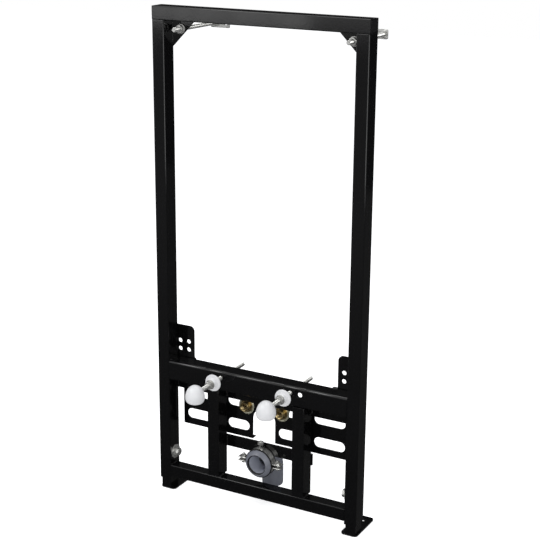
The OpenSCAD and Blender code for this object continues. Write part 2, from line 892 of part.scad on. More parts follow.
// Socket with a cone and a rim, straight pipe, bend and down pipe
module waste_bend() {
    rim_y = mouth_y + cone_l;
    color("#62656d")
        translate([0, front_y, waste_z])
            difference() {
                union() {
                    translate([0, mouth_y, 0])
                        rotate([-90, 0, 0])
                            cylinder(d1 = mouth_d, d2 = rim_d, h = cone_l);
                    translate([0, rim_y, 0])
                        rod(rim_d, rim_l);
                    translate([0, rim_y, 0])
                        rod(socket_d, socket_end_y - front_y - rim_y);
                    translate([0, rim_y, 0])
                        rod(pipe_d, down_y - bend_r - rim_y);
                    translate([0, down_y - bend_r, -bend_r])
                        rotate([90, 0, 90])
                            rotate_extrude(angle = 90)
                                translate([bend_r, 0])
                                    circle(d = pipe_d);
                    translate([0, down_y, down_low - waste_up])
                        cylinder(d = pipe_d, h = waste_up - bend_r - down_low);
                }
                translate([0, mouth_y + seal_in, 0])
                    rod(seal_d + 2 * fit, seal_l);
                translate([0, mouth_y - eps, 0])
                    rod(pipe_d - 2 * pipe_wall, down_y - bend_r - mouth_y + eps);
                translate([0, down_y - bend_r, -bend_r])
                    rotate([90, 0, 90])
                        rotate_extrude(angle = 90)
                            translate([bend_r, 0])
                                circle(d = pipe_d - 2 * pipe_wall);
                translate([0, down_y, down_low - waste_up - eps])
                    cylinder(d = pipe_d - 2 * pipe_wall, h = waste_up - bend_r - down_low + eps);
            }
}

// Rubber ring in the groove behind the socket's mouth
module waste_seal() {
    color("#1b1b1c")
        translate([0, front_y + mouth_y + seal_in, waste_z])
            difference() {
                rod(seal_d, seal_l);
                translate([0, -eps, 0])
                    rod(seal_bore_d, seal_l + 2 * eps);
            }
}

// Upper half of a band with an ear on each side
module half_band() {
    difference() {
        union() {
            rod(2 * band_out_r, band_w);
            translate([-band_out_r - lug_l, 0, lug_gap / 2])
                cube([2 * (band_out_r + lug_l), band_w, lug_t]);
        }
        translate([0, -eps, 0])
            rod(2 * band_in_r, band_w + 2 * eps);
        translate([-band_out_r - lug_l - eps, -eps, lug_gap / 2 - 2 * band_out_r])
            cube([2 * (band_out_r + lug_l + eps), band_w + 2 * eps, 2 * band_out_r]);
        for (side = [-1, 1])
            translate([side * clamp_screw_x, band_w / 2, 0])
                cylinder(d = clamp_screw_d + 2 * fit, h = band_out_r);
    }
}

// Half band with a hexagonal boss on top for the hanger stud
module clamp_upper_band() {
    color("#9a9c9e")
        translate([0, band_front_y, waste_z])
            half_band();
    color("#9a9c9e")
        translate([0, hanger_y, waste_z + band_in_r])
            cylinder(d = hanger_af / cos(30), h = band_t + hanger_boss_h, $fn = 6);
}

module clamp_lower_band() {
    color("#9a9c9e")
        translate([0, band_front_y, waste_z])
            mirror([0, 0, 1])
                half_band();
}

module clamp_lining() {
    color("#1b1b1c")
        translate([0, lining_y, waste_z])
            difference() {
                rod(2 * lining_out_r, lining_w);
                translate([0, -eps, 0])
                    rod(2 * lining_in_r, lining_w + 2 * eps);
            }
}

// Screw with head and nut through the clamp's ears, on each side
module clamp_screws() {
    ears_h = lug_gap + 2 * lug_t;
    color("#9a9c9e")
        for (side = [-1, 1])
            translate([side * clamp_screw_x, band_front_y + band_w / 2, waste_z - ears_h / 2]) {
                translate([0, 0, -clamp_head_h])
                    cylinder(d = clamp_screw_d, h = ears_h + 2 * clamp_head_h);
                translate([0, 0, ears_h])
                    cylinder(d = clamp_head_af / cos(30), h = clamp_head_h, $fn = 6);
                translate([0, 0, -clamp_head_h])
                    cylinder(d = clamp_head_af / cos(30), h = clamp_head_h, $fn = 6);
            }
}

// Upright stud on the clamp's boss, with a nut on top of the crossbar's lug
module clamp_hanger_bolt() {
    color("#9a9c9e")
        translate([0, hanger_y, 0]) {
            translate([0, 0, hanger_boss_z])
                cylinder(d = hanger_d, h = crossbar_top_z + hanger_nut_h + hanger_out - hanger_boss_z);
            translate([0, 0, crossbar_top_z])
                cylinder(d = hanger_af / cos(30), h = hanger_nut_h, $fn = 6);
        }
}

left_post();
right_post();
top_rail();
rail_caps();
bottom_rail();
left_strut();
right_strut();
mounting_beam();
beam_ribs();
left_ear_plate();
right_ear_plate();
slotted_plate();
waste_crossbar();
left_gusset();
right_gusset();
left_leg();
right_leg();
left_foot_plate();
right_foot_plate();
left_lock_bolt();
right_lock_bolt();
left_wall_rod();
right_wall_rod();
left_rod_nuts();
right_rod_nuts();
left_wall_bracket();
right_wall_bracket();
left_stud();
right_stud();
left_stud_disc();
right_stud_disc();
left_stud_nuts();
right_stud_nuts();
left_stud_cap();
right_stud_cap();
left_tap_elbow();
right_tap_elbow();
tap_flanges();
waste_bend();
waste_seal();
clamp_upper_band();
clamp_lower_band();
clamp_lining();
clamp_screws();
clamp_hanger_bolt();
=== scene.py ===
import math
import random

import bmesh
import bpy
from mathutils import Matrix, Vector


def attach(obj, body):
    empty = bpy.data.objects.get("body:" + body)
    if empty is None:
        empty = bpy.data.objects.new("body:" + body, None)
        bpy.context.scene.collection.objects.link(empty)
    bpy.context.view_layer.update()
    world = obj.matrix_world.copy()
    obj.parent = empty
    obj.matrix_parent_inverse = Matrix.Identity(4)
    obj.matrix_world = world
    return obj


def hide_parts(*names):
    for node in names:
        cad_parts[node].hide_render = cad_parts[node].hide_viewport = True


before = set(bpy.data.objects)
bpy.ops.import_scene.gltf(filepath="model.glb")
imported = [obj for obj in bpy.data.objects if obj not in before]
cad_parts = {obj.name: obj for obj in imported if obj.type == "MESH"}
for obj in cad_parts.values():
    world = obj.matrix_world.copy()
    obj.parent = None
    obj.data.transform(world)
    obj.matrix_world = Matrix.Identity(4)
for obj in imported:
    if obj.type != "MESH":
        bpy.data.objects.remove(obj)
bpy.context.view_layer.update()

# Studio
# A photo table: white sweep, one large soft lamp from the upper left, a weaker one from the right,
# and the camera of the photograph, far off and above the top rail, looking down on the frame.
scene = bpy.context.scene
scene.view_settings.view_transform = "Standard"

camera_place = (1.34349, -2.41397, 1.4254)
camera_turn, camera_down, camera_tilt = 0.50044, 0.29652, 0.00716
camera_data = bpy.data.cameras.new("photo_camera")
camera_data.sensor_width = 36
camera_data.lens = 86.9
camera_data.clip_end = 50
camera = bpy.data.objects.new("photo_camera", camera_data)
camera.matrix_world = (
    Matrix.Translation(camera_place)
    @ Matrix.Rotation(camera_turn, 4, "Z")
    @ Matrix.Rotation(math.pi / 2 - camera_down, 4, "X")
    @ Matrix.Rotation(camera_tilt, 4, "Z")
)
scene.collection.objects.link(camera)
scene.camera = camera


def soft_lamp(name, place, aim_height, width, height, power):
    """A rectangular lamp at a place, turned towards a height on the middle line of the frame."""
    data = bpy.data.lights.new(name, "AREA")
    data.shape = "RECTANGLE"
    data.size, data.size_y = width, height
    data.energy = power
    lamp = bpy.data.objects.new(name, data)
    lamp.location = place
    lamp.rotation_euler = (Vector((0, 0, aim_height)) - Vector(place)).to_track_quat("-Z", "Y").to_euler()
    scene.collection.objects.link(lamp)


soft_lamp("key_lamp", (-1.9, -2.2, 3.0), 0.5, 1.8, 1.8, 50)
soft_lamp("fill_lamp", (2.0, -2.6, 1.3), 0.4, 1.2, 1.4, 26)
soft_lamp("top_lamp", (0.2, 0.6, 3.4), 0.4, 2.2, 1.6, 30)


def paint(code):
    """The linear colour of an sRGB hex value."""
    parts = [int(code[i:i + 2], 16) / 255 for i in (1, 3, 5)]
    return [v / 12.92 if v <= 0.04045 else ((v + 0.055) / 1.055) ** 2.4 for v in parts] + [1]


def add_node(tree, kind, settings=(), **links):
    """Adds a node; settings are attributes or socket values by name, links are input=(node, output)."""
    node = tree.nodes.new(kind)
    for name, value in dict(settings).items():
        if isinstance(name, str) and name in node.bl_rna.properties:
            setattr(node, name, value)
        else:
            node.inputs[name].default_value = value
    for name, (source, output) in links.items():
        by_number = name[0] == "i" and name[1:].isdigit()
        socket = node.inputs[int(name[1:]) if by_number else name]
        tree.links.new(source.outputs[output], socket)
    return node


def empty_tree(owner):
    """The node tree of a world or a material, without its first nodes."""
    owner.use_nodes = True
    owner.node_tree.nodes.clear()
    return owner.node_tree


def seen_directly(tree):
    """1 for the camera's rays and for what metal and glass show of them, 0 for the light on the frame."""
    rays = add_node(tree, "ShaderNodeLightPath")
    larger = {"operation": "MAXIMUM"}
    seen = add_node(tree, "ShaderNodeMath", larger, i0=(rays, "Is Camera Ray"), i1=(rays, "Is Glossy Ray"))
    return add_node(tree, "ShaderNodeMath", larger, i0=(seen, 0), i1=(rays, "Is Transmission Ray"))


white = paint("#ffffff")
world = bpy.data.worlds.new("white_studio")
scene.world = world
tree = empty_tree(world)
clear = seen_directly(tree)
ambient = add_node(tree, "ShaderNodeBackground", {"Color": paint("#f4f6fa"), "Strength": 0.55})
backdrop = add_node(tree, "ShaderNodeBackground", {"Color": white, "Strength": 1.0})
blend = add_node(tree, "ShaderNodeMixShader", {}, i0=(clear, 0), i1=(ambient, 0), i2=(backdrop, 0))
add_node(tree, "ShaderNodeOutputWorld", {}, Surface=(blend, 0))

floor_size = 9.0
floor_mesh = bpy.data.meshes.new("floor")
floor_corners = [(x * floor_size, y * floor_size, 0) for x, y in ((-1, -1), (1, -1), (1, 1), (-1, 1))]
floor_mesh.from_pydata(floor_corners, [], [(0, 1, 2, 3)])
floor = bpy.data.objects.new("floor", floor_mesh)
scene.collection.objects.link(floor)

# The floor's glow lifts it to white where it is seen, and the object's shadow stays on it
white_floor = bpy.data.materials.new("white_floor")
tree = empty_tree(white_floor)
clear = seen_directly(tree)
glow = add_node(tree, "ShaderNodeMath", {"operation": "MULTIPLY", 1: 0.66}, i0=(clear, 0))
matt = add_node(tree, "ShaderNodeBsdfDiffuse", {"Color": paint("#f2f2f2")})
light = add_node(tree, "ShaderNodeEmission", {"Color": white}, Strength=(glow, 0))
both = add_node(tree, "ShaderNodeAddShader", {}, i0=(matt, 0), i1=(light, 0))
add_node(tree, "ShaderNodeOutputMaterial", {}, Surface=(both, 0))
floor_mesh.materials.append(white_floor)


def reflected_card(name, low, high, glow_range):
    """A photographer's card that only reflections see; its glow follows a range along Y."""
    (x0, y0, z0), (x1, y1, z1) = low, high
    mesh = bpy.data.meshes.new(name)
    mesh.from_pydata([(x0, y0, z0), (x1, y0, z0), (x1, y1, z1), (x0, y1, z1)], [], [(0, 1, 2, 3)])
    card = bpy.data.objects.new(name, mesh)
    scene.collection.objects.link(card)
    card.visible_camera = False
    card.visible_diffuse = False
    card.visible_shadow = False
    card.visible_transmission = False
    material = bpy.data.materials.new(name)
    tree = empty_tree(material)
    place = add_node(tree, "ShaderNodeTexCoord")
    axes = add_node(tree, "ShaderNodeSeparateXYZ", {}, Vector=(place, "Object"))
    glow = add_node(tree, "ShaderNodeMapRange", glow_range, Value=(axes, "Y"))
    light = add_node(tree, "ShaderNodeEmission", {"Color": white}, Strength=(glow, 0))
    add_node(tree, "ShaderNodeOutputMaterial", {}, Surface=(light, 0))
    mesh.materials.append(material)


# Dark cards on the floor and behind keep the enamel black; a strip lights the top rail's front
floor_fade = {"From Min": -2.2, "From Max": -0.1, "To Min": 0.18, "To Max": 0.06}
even_dark = {"From Min": 4, "From Max": 0, "To Min": 0.02, "To Max": 0.02}
even_dim = {"From Min": 4, "From Max": 0, "To Min": 0.1, "To Max": 0.1}
even_bright = {"From Min": -4, "From Max": 0, "To Min": 2.2, "To Max": 2.2}
reflected_card("floor_card", (-6, -8.9, 0.002), (6, 3, 0.002), floor_fade)
reflected_card("back_card", (-6, 3, 0), (6, 3, 3.4), even_dark)
reflected_card("high_card", (-6, 2.95, 1.73), (6, 2.95, 3.4), even_dim)
reflected_card("strip_card", (-3.4, -3.6, 0.645), (-1.7, -3.6, 0.8), even_bright)


# Welded frame
# Square-cut steel tubes and laser-cut sheet, welded and dipped in black stoving enamel, which runs
# smooth over the edges and gives a deep gloss with a very slight orange-peel ripple.
mm = 0.001


def new_material(name):
    """An empty material with its Principled shader linked to the output."""
    material = bpy.data.materials.new(name)
    tree = empty_tree(material)
    shader = add_node(tree, "ShaderNodeBsdfPrincipled")
    add_node(tree, "ShaderNodeOutputMaterial", {}, Surface=(shader, 0))
    return material, tree, shader


def pattern(per_metre, detail, roughness=0.5):
    """Settings of a noise with so many patches to a metre, each about 1000 / per_metre mm across."""
    return {"Scale": per_metre, "Detail": detail, "Roughness": roughness}


def link_finish(tree, shader, tone, gloss, bump=None):
    """Links a finish's tone, gloss and bump to its shader."""
    tree.links.new(tone.outputs[0], shader.inputs["Base Color"])
    tree.links.new(gloss.outputs[0], shader.inputs["Roughness"])
    if bump:
        tree.links.new(bump.outputs[0], shader.inputs["Normal"])


def stoving_enamel():
    """Gloss black enamel: near-black body, ripples of some 4 mm, and a gloss that varies a little."""
    material, tree, shader = new_material("black_stoving_enamel")
    shader.inputs["Specular IOR Level"].default_value = 0.45
    place = add_node(tree, "ShaderNodeTexCoord")
    cloud = add_node(tree, "ShaderNodeTexNoise", pattern(9.0, 4.0, 0.55), Vector=(place, "Object"))
    body = add_node(tree, "ShaderNodeValToRGB", {}, Fac=(cloud, 0))
    body.color_ramp.elements[0].color = paint("#060607")
    body.color_ramp.elements[1].color = paint("#0b0b0c")
    gloss_range = {"From Min": 0.3, "From Max": 0.7, "To Min": 0.06, "To Max": 0.11}
    gloss = add_node(tree, "ShaderNodeMapRange", gloss_range, Value=(cloud, 0))
    peel = add_node(tree, "ShaderNodeTexNoise", pattern(260.0, 2.0), Vector=(place, "Object"))
    bump = add_node(tree, "ShaderNodeBump", {"Strength": 0.06, "Distance": 0.4 * mm}, Height=(peel, 0))
    link_finish(tree, shader, body, gloss, bump)
    return material


enamel = stoving_enamel()
enamel_edge = 0.5 * mm


def coat_node(name, material, edge):
    """Gives a solid of the frame its material and softens its cut edges to the given radius."""
    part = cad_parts[name]
    part.data.materials.clear()
    part.data.materials.append(material)
    weld = part.modifiers.new("joined_faces", "WELD")
    weld.merge_threshold = 0.002 * mm
    soften = part.modifiers.new("soft_edges", "BEVEL")
    soften.width = edge
    soften.segments = 2
    soften.limit_method = "ANGLE"
    soften.angle_limit = math.radians(50)
    soften.use_clamp_overlap = True
    soften.harden_normals = False


for name in (
    "left_post", "right_post", "top_rail", "bottom_rail", "left_strut", "right_strut", "mounting_beam",
    "beam_ribs", "left_ear_plate", "right_ear_plate", "slotted_plate", "waste_crossbar",
    "left_gusset", "right_gusset", "left_leg", "right_leg", "left_foot_plate", "right_foot_plate",
):
    coat_node(name, enamel, enamel_edge)


# Weld seams
# Where tubes and plates meet, a MIG weld leaves a low bead with a ripple for every puddle; the enamel
# covers it like the rest. Only the inner corners have one, the front faces are ground flush.
post_front_y = -25.5 * mm
floor_gap = 27 * mm
post_in, strut_in, strut_out = 230, 96, 126
bottom_rail_low, bottom_rail_top, top_rail_low = 7, 37, 1090
tube_back, gusset_front = 40, 37
beam_t, beam_top, beam_back = 2.5, 304, 42.5
bead_r = 1.7


def at(x, y, z):
    """A point given in millimetres from the posts' front face and the post ends."""
    return Vector((x * mm, post_front_y + y * mm, floor_gap + z * mm))


def skin(bm, rings, closed=True):
    """Joins neighbouring rings of points with faces; closed joins the last ring to the first as well."""
    following = rings[1:] + rings[:1] if closed else rings[1:]
    for one, two in zip(rings, following):
        for k in range(len(one)):
            n = (k + 1) % len(one)
            bm.faces.new((one[k], one[n], two[n], two[k]))


def finish_piece(name, bm, material, nodes, crease=32):
    """Turns a mesh into an object of the frame that stands for CAD nodes and has the given material."""
    bmesh.ops.remove_doubles(bm, verts=bm.verts, dist=0.001 * mm)
    bmesh.ops.dissolve_degenerate(bm, edges=bm.edges, dist=0.0001 * mm)
    bmesh.ops.recalc_face_normals(bm, faces=bm.faces)
    mesh = bpy.data.meshes.new(name)
    bm.to_mesh(mesh)
    bm.free()
    for face in mesh.polygons:
        face.use_smooth = True
    mesh.set_sharp_from_angle(angle=math.radians(crease))
    mesh.materials.append(material)
    piece = bpy.data.objects.new(name, mesh)
    scene.collection.objects.link(piece)
    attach(piece, "frame")
    if nodes:
        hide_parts(*nodes)


def weld_bead(bm, start, end, radius, rng):
    """A rippled bead along a straight seam, closed at both ends."""
    run = end - start
    length = run.length
    side = run.normalized()
    up = side.orthogonal().normalized()
    across = side.cross(up)
    ripple = 2.2 * mm
    steps = max(6, int(length / (ripple / 4)))
    around = 12
    rings = []
    for i in range(steps + 1):
        along = i / steps
        swell = 1 + 0.12 * math.cos(2 * math.pi * along * length / ripple) + rng.uniform(-0.04, 0.04)
        taper = min(1, 0.35 + 8 * min(along, 1 - along))
        r = radius * mm * swell * taper
        centre = start + run * along
        rings.append([
            bm.verts.new(centre + (up * math.cos(a) + across * math.sin(a)) * r)
            for a in (2 * math.pi * k / around for k in range(around))
        ])
    skin(bm, rings, closed=False)
    bm.faces.new(rings[0])
    bm.faces.new(rings[-1])


rng = random.Random(7)
seams = bmesh.new()
for side in (-1, 1):
    for start, end, radius in (
        # The struts, the bottom rail and the top rail
        ((strut_in, 3, bottom_rail_top), (strut_in, 29, bottom_rail_top), bead_r),
        ((strut_out, 3, bottom_rail_top), (strut_out, 29, bottom_rail_top), bead_r),
        ((post_in, 3, bottom_rail_top), (post_in, 28, bottom_rail_top), bead_r),
        ((post_in, 3, bottom_rail_low), (post_in, 28, bottom_rail_low), bead_r),
        ((post_in, 4, top_rail_low), (post_in, 34, top_rail_low), bead_r),
        # The gusset, along the top rail and down the post
        ((post_in - 2, gusset_front, top_rail_low), (174, gusset_front, top_rail_low), 1.2),
        ((post_in, gusset_front, top_rail_low - 2), (post_in, gusset_front, 1034), 1.2),
        # The beam's ends, its ear plate, and its back bar on struts and post
        ((post_in, beam_t, 262), (post_in, beam_t, 298), 1.0),
        ((post_in - 0.2, 6, beam_top), (post_in - 0.2, 36, beam_top), 1.3),
        ((192, beam_back, 259), (252, beam_back, 259), 1.2),
        ((strut_in, tube_back, 228), (strut_in, tube_back, 255), bead_r),
        ((strut_out, tube_back, 228), (strut_out, tube_back, 255), bead_r),
        ((strut_in, tube_back, 106), (strut_in, tube_back, 129), bead_r),
        ((post_in, tube_back, 228), (post_in, tube_back, 258), bead_r),
        # The slotted plate on the back bar, and the lug on the crossbar
        ((110, beam_back, 245), (210, beam_back, 245), bead_r),
        ((9, tube_back, 128.5), (1, tube_back, 128.5), 1.0),
    ):
        (x0, y0, z0), (x1, y1, z1) = start, end
        weld_bead(seams, at(side * x0, y0, z0), at(side * x1, y1, z1), radius, rng)
# A thicker bead at the foot of the right ear plate, which shows over the beam
weld_bead(seams, at(176, 41.2, beam_top), at(190, 41.2, beam_top), 2.8, rng)
finish_piece("weld_seams", seams, enamel, (), crease=60)


# Rail plugs
# Injection-moulded black polyethylene plugs pressed into the open ends of the top rail, with a
# slightly domed face inside the tube's mouth, and a small one in the crossbar's spare hole.
plug_x, plug_y, plug_z = 252, 20, 1105
plug_w, plug_d = 25.9, 35.9
hole_plug_x, hole_plug_z, hole_plug_d, hole_plug_in = 56, 111, 6.8, 0.5


def moulded_black():
    """Black polyethylene: dull gloss with a fine moulded grain of about 0.5 mm."""
    material, tree, shader = new_material("black_polyethylene")
    shader.inputs["IOR"].default_value = 1.5
    place = add_node(tree, "ShaderNodeTexCoord")
    grain = add_node(tree, "ShaderNodeTexNoise", pattern(1800.0, 1.0), Vector=(place, "Object"))
    tone = add_node(tree, "ShaderNodeValToRGB", {}, Fac=(grain, 0))
    tone.color_ramp.elements[0].color = paint("#101011")
    tone.color_ramp.elements[1].color = paint("#1a1a1b")
    gloss = add_node(tree, "ShaderNodeMapRange", {"To Min": 0.32, "To Max": 0.45}, Value=(grain, 0))
    bump = add_node(tree, "ShaderNodeBump", {"Strength": 0.15, "Distance": 0.1 * mm}, Height=(grain, 0))
    link_finish(tree, shader, tone, gloss, bump)
    return material


black_plastic = moulded_black()


def rounded_loop(width, depth, radius, steps=6):
    """The corner points of a rectangle with rounded corners, in the plane of the first two axes."""
    points = []
    for sx, sy, turn in ((1, 1, 0), (-1, 1, 90), (-1, -1, 180), (1, -1, 270)):
        for k in range(steps + 1):
            a = math.radians(turn + 90 * k / steps)
            x = sx * (width / 2 - radius) + radius * math.cos(a)
            y = sy * (depth / 2 - radius) + radius * math.sin(a)
            points.append((x, y))
    return points


def stack_loops(bm, place, loops):
    """Skins a stack of equal-length loops, each (points, height) in mm, and closes both ends."""
    rings = [
        [bm.verts.new(place @ Vector((x * mm, y * mm, h * mm))) for x, y in points]
        for points, h in loops
    ]
    skin(bm, rings, closed=False)
    bm.faces.new(rings[0])
    bm.faces.new(rings[-1])


def facing_wall(x, y, z):
    """The place of a piece whose local Z axis points to the wall."""
    return Matrix.Translation(at(x, y, z)) @ Matrix.Rotation(math.radians(-90), 4, "X")


def facing_out(side, x, y, z):
    """The place of a piece on the left (-1) or the right (1) whose local Z axis points outwards."""
    return Matrix.Translation(at(side * x, y, z)) @ Matrix.Rotation(math.radians(90 * side), 4, "Y")


plugs = bmesh.new()
for side in (-1, 1):
    stack_loops(plugs, facing_out(side, plug_x, plug_y, plug_z), [
        (rounded_loop(plug_w, plug_d, 0.6), 0),
        (rounded_loop(plug_w, plug_d, 0.6), 7.0),
        (rounded_loop(plug_w - 1.0, plug_d - 1.0, 1.0), 7.6),
        (rounded_loop(plug_w - 9.9, plug_d - 9.9, 3.0), 7.9),
    ])
finish_piece("rail_plugs", plugs, black_plastic, ("rail_caps",))

hole_plug = bmesh.new()
stack_loops(hole_plug, facing_wall(hole_plug_x, tube_back + hole_plug_in, hole_plug_z), [
    (rounded_loop(d, d, d / 2), h)
    for d, h in ((hole_plug_d - 2.4, 0), (hole_plug_d - 0.6, 0.3), (hole_plug_d, 0.9), (hole_plug_d, 3.4))
])
finish_piece("crossbar_hole_plug", hole_plug, black_plastic, ())


# Zinc-plated fixings
# Bolts, nuts, washers and threaded rods of mild steel, bright zinc plated: a cool grey metal whose
# plating clouds a little, with rolled threads and chamfered hexagons.
def zinc_plate(name, light, dark, rough_low, rough_high):
    """Bright plating on metal: cloudy tone some 8 mm across and fine scratches from tumbling."""
    material, tree, shader = new_material(name)
    # The thin passivated film on the plating scatters a part of the light
    shader.inputs["Metallic"].default_value = 0.7
    place = add_node(tree, "ShaderNodeTexCoord")
    cloud = add_node(tree, "ShaderNodeTexNoise", pattern(120.0, 2.0), Vector=(place, "Object"))
    tone = add_node(tree, "ShaderNodeValToRGB", {}, Fac=(cloud, 0))
    tone.color_ramp.elements[0].position = 0.3
    tone.color_ramp.elements[0].color = paint(dark)
    tone.color_ramp.elements[1].position = 0.7
    tone.color_ramp.elements[1].color = paint(light)
    scratch = add_node(tree, "ShaderNodeTexNoise", pattern(2400.0, 2.0), Vector=(place, "Object"))
    gloss_range = {"To Min": rough_low, "To Max": rough_high}
    gloss = add_node(tree, "ShaderNodeMapRange", gloss_range, Value=(scratch, 0))
    bump = add_node(tree, "ShaderNodeBump", {"Strength": 0.12, "Distance": 0.05 * mm}, Height=(scratch, 0))
    link_finish(tree, shader, tone, gloss, bump)
    return material


zinc = zinc_plate("bright_zinc", "#d4d4d1", "#afafab", 0.18, 0.28)


def turned_point(place, r, angle, h):
    """A point at a radius, an angle and a height in mm about a piece's own axis."""
    return place @ Vector((r * mm * math.cos(angle), r * mm * math.sin(angle), h * mm))


def lathe(bm, outline, place, steps=64):
    """Turns a closed outline of (radius, height) in mm about the local Z axis."""
    skin(bm, [
        [bm.verts.new(turned_point(place, r, 2 * math.pi * k / steps, h)) for r, h in outline]
        for k in range(steps)
    ])


def hexagon(bm, flats, bore, height, place, per_side=8):
    """A hexagonal nut, or a head where the bore is 0, with both its rims chamfered by 30 degrees."""
    face_r = flats / 2 * 0.96
    ease = 0.3
    bore_ease = ease if bore else 0
    count = 6 * per_side
    rings = []
    for k in range(count):
        a = 2 * math.pi * k / count
        off = (a + math.pi / 6) % (math.pi / 3) - math.pi / 6
        side_r = flats / 2 / math.cos(off)
        drop = (side_r - face_r) * math.tan(math.radians(30))
        outline = [
            (bore, bore_ease), (bore + ease, 0), (face_r, 0), (side_r, drop),
            (side_r, height - drop), (face_r, height), (bore + ease, height), (bore, height - bore_ease),
        ]
        rings.append([bm.verts.new(turned_point(place, r, a, h)) for r, h in outline])
    skin(bm, rings)


def threaded_rod(bm, diameter, pitch, length, place, around=20):
    """A rolled metric thread, 0.61 of its pitch deep, tapered over one turn at both ends."""
    crest_r = diameter / 2
    root_r = crest_r - 0.61 * pitch
    end_r = root_r - 0.1
    profile = ((root_r, 0.0), (crest_r, 0.375), (crest_r, 0.5), (root_r, 0.875))
    count = int(length / pitch + 1) * around

    def point(k, r, part):
        """A point of the thread's profile, k steps around and part of a pitch on, kept on the rod."""
        h = min(length, max(0, pitch * (k / around + part - 1)))
        room = min(h, length - h) / pitch
        r = min(r, end_r + (crest_r - end_r) * min(1, room))
        return bm.verts.new(turned_point(place, r, 2 * math.pi * k / around, h))

    rows = [[point(k, r, part) for r, part in profile] for k in range(count + around)]
    for k in range(len(rows) - 1):
        for j in range(3):
            bm.faces.new((rows[k][j], rows[k][j + 1], rows[k + 1][j + 1], rows[k + 1][j]))
        if k + around + 1 < len(rows):
            bm.faces.new((rows[k][3], rows[k + around][0], rows[k + around + 1][0], rows[k + 1][3]))
    bmesh.ops.remove_doubles(bm, verts=bm.verts, dist=0.001 * mm)
    open_edges = [e for e in bm.edges if e.is_boundary]
    bmesh.ops.holes_fill(bm, edges=open_edges, sides=0)


def washer_outline(outer_r, bore_r, thickness):
    """A punched washer: one side rounded over, a small burr-free edge on the other."""
    round_over, ease = 0.4, 0.1
    return [
        (bore_r, 0), (outer_r - round_over, 0), (outer_r - 0.3 * round_over, 0.3 * round_over),
        (outer_r, round_over), (outer_r, thickness - ease), (outer_r - ease, thickness), (bore_r, thickness),
    ]


def turned(angle):
    """A turn about a piece's own axis, as no two nuts stop at the same angle."""
    return Matrix.Rotation(angle, 4, "Z")


# Locking bolts
# An M10 bolt through a nut welded inside each post, with a large washer and a lock nut, clamps the
# telescopic leg at its height. The bolt is tightened from between the posts.
m10_flats, m10_pitch = 17, 1.5
bolt_x, bolt_y, bolt_z, bolt_head_h = 217, 21, 66, 6.3
lock_nut_from, lock_nut_h, lock_nut_bore_r = 6.5, 4.0, 5.1
large_washer_from = 10.5
large_washer = washer_outline(17, 5.2, 2.5)
shank = [(0, 6), (4.95, 6), (4.95, 14.4), (4.2, 15.1), (0, 15.1)]
for side, word in ((-1, "left"), (1, "right")):
    bolt = bmesh.new()
    place = facing_out(side, bolt_x, bolt_y, bolt_z)
    hexagon(bolt, m10_flats, 0, bolt_head_h, place)
    lock_nut_place = place @ Matrix.Translation((0, 0, lock_nut_from * mm)) @ turned(0.3)
    hexagon(bolt, m10_flats, lock_nut_bore_r, lock_nut_h, lock_nut_place)
    lathe(bolt, large_washer, place @ Matrix.Translation((0, 0, large_washer_from * mm)))
    lathe(bolt, shank, place, 32)
    finish_piece(word + "_locking_bolt", bolt, zinc, (word + "_lock_bolt",))


# Wall rods and brackets
# An M10 rod on each side is screwed through the corner gusset and locked by a nut and washer on both
# faces. A punched strip on its far end is screwed to the wall.
rod_x, rod_z, rod_front, rod_l = 209, 1069.5, 8, 171.9
m10_nut_h, m10_nut_bore_r = 8, 5.05
m10_washer_t = 2
m10_washer = washer_outline(11, 5.15, m10_washer_t)
wall_y, strip_mid_x, strip_l, strip_h, strip_t = 183, 195, 50, 21, 3
strip_hole_r, strip_hole_in = 4.5, 15
for side, word in ((-1, "left"), (1, "right")):
    rod = bmesh.new()
    threaded_rod(rod, 10, m10_pitch, rod_l, facing_wall(side * rod_x, rod_front, rod_z))
    finish_piece(word + "_threaded_wall_rod", rod, zinc, (word + "_wall_rod",))

    nuts = bmesh.new()
    front_washer_y, back_washer_y = gusset_front - m10_washer_t, tube_back
    for washer_y, nut_y, angle in (
        (front_washer_y, front_washer_y - m10_nut_h, 0.25),
        (back_washer_y, back_washer_y + m10_washer_t, 0.6),
    ):
        lathe(nuts, m10_washer, facing_wall(side * rod_x, washer_y, rod_z))
        nut_place = facing_wall(side * rod_x, nut_y, rod_z) @ turned(angle)
        hexagon(nuts, m10_flats, m10_nut_bore_r, m10_nut_h, nut_place)
    finish_piece(word + "_wall_rod_nuts", nuts, zinc, (word + "_rod_nuts",))


